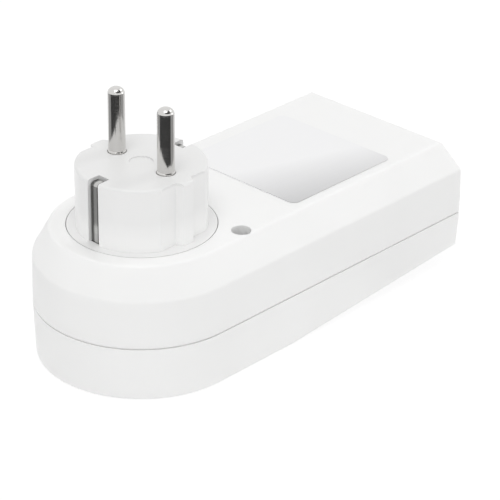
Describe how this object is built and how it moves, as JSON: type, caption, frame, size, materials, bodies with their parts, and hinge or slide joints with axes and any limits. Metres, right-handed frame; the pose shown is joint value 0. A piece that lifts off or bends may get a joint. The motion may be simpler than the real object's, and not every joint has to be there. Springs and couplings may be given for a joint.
{
  "type": "plug-in power meter",
  "caption": "Plug-in power meter: white housing with a round earthed plug on its back and a recessed outlet, display and push keys on its front.",
  "frame": {"origin": "centre of the bounding box in plan, on the flat front face that the meter lies on", "axes": "+X along the housing to the square display end, +Z along the plug pins away from the rear face"},
  "size_m": [0.1326, 0.0612, 0.0763],
  "materials": {
    "housing_white": "fine satin moulded",
    "plug_white": "smooth satin moulded",
    "pin_nickel": "nickel plated, turned",
    "earth_steel": "tinned spring strip",
    "shutter_orange": "moulded",
    "spring_steel": "drawn wire",
    "carrier_ivory": "moulded",
    "contact_brass": "stamped",
    "strap_copper": "stamped",
    "board_green": "solder mask",
    "shunt_alloy": "bare alloy strip",
    "film_yellow": "moulded box",
    "sleeve_blue": "shrunk sleeve",
    "varistor_blue": "epoxy dipped",
    "chip_black": "moulded epoxy",
    "can_steel": "drawn can",
    "ribbon_grey": "flat cable",
    "lcd_glass": "bonded display glass",
    "strip_pink": "layered conductive rubber",
    "lens_clear": "clear moulded lens",
    "key_grey": "moulded cap",
    "screw_steel": "zinc plated",
    "label_silver": "bare satin foil"
  },
  "bodies": {
    "housing": {"rear_shell": "housing_white", "front_shell": "housing_white", "plug_insert": "plug_white", "socket_insert": "plug_white", "pin_line": "pin_nickel", "pin_neutral": "pin_nickel", "plug_earth_strips": "earth_steel", "socket_earth_clips": "earth_steel", "contact_carrier": "carrier_ivory", "contact_line": "contact_brass", "contact_neutral": "contact_brass", "neutral_strap": "strap_copper", "lead_line_in": "strap_copper", "lead_line_out": "strap_copper", "lead_neutral": "strap_copper", "power_board": "board_green", "display_board": "board_green", "shunt": "shunt_alloy", "film_capacitor": "film_yellow", "electrolytic_capacitor": "sleeve_blue", "varistor": "varistor_blue", "metering_chip": "chip_black", "crystal": "can_steel", "backup_cell": "can_steel", "ribbon": "ribbon_grey", "lcd_glass": "lcd_glass", "lcd_holder": "carrier_ivory", "contact_strips": "strip_pink", "lcd_lens": "lens_clear", "key_switches": "chip_black", "case_screws": "screw_steel", "carrier_screws": "screw_steel", "board_screws": "screw_steel", "rating_label": "label_silver"},
    "key_up": {"key_up": "key_grey"},
    "key_down": {"key_down": "key_grey"},
    "key_mode": {"key_mode": "key_grey"},
    "key_set": {"key_set": "key_grey"},
    "key_reset": {"key_reset": "key_grey"},
    "shutter": {"shutter": "shutter_orange", "shutter_spring": "spring_steel"}
  },
  "joints": [
    {"name": "key_up_press", "type": "slide", "parent": "housing", "child": "key_up", "axis": [-0.0697, 0, 0.9976], "range_m": [0, 0.0005], "stiffness_N_per_m": 800, "springref_m": -0.0005},
    {"name": "key_down_press", "type": "slide", "parent": "housing", "child": "key_down", "axis": [-0.0697, 0, 0.9976], "range_m": [0, 0.0005], "stiffness_N_per_m": 800, "springref_m": -0.0005},
    {"name": "key_mode_press", "type": "slide", "parent": "housing", "child": "key_mode", "axis": [-0.0697, 0, 0.9976], "range_m": [0, 0.0005], "stiffness_N_per_m": 800, "springref_m": -0.0005},
    {"name": "key_set_press", "type": "slide", "parent": "housing", "child": "key_set", "axis": [-0.0697, 0, 0.9976], "range_m": [0, 0.0005], "stiffness_N_per_m": 800, "springref_m": -0.0005},
    {"name": "key_reset_press", "type": "slide", "parent": "housing", "child": "key_reset", "axis": [-0.0697, 0, 0.9976], "range_m": [0, 0.0005], "stiffness_N_per_m": 800, "springref_m": -0.0005},
    {"name": "shutter_turn", "type": "hinge", "parent": "housing", "child": "shutter", "pos_m": [-0.0357, 0, 0.021], "axis": [0, 0, -1], "range_deg": [0, 42], "stiffness_Nm_per_rad": 0.004, "springref_deg": -11.46}
  ]
}
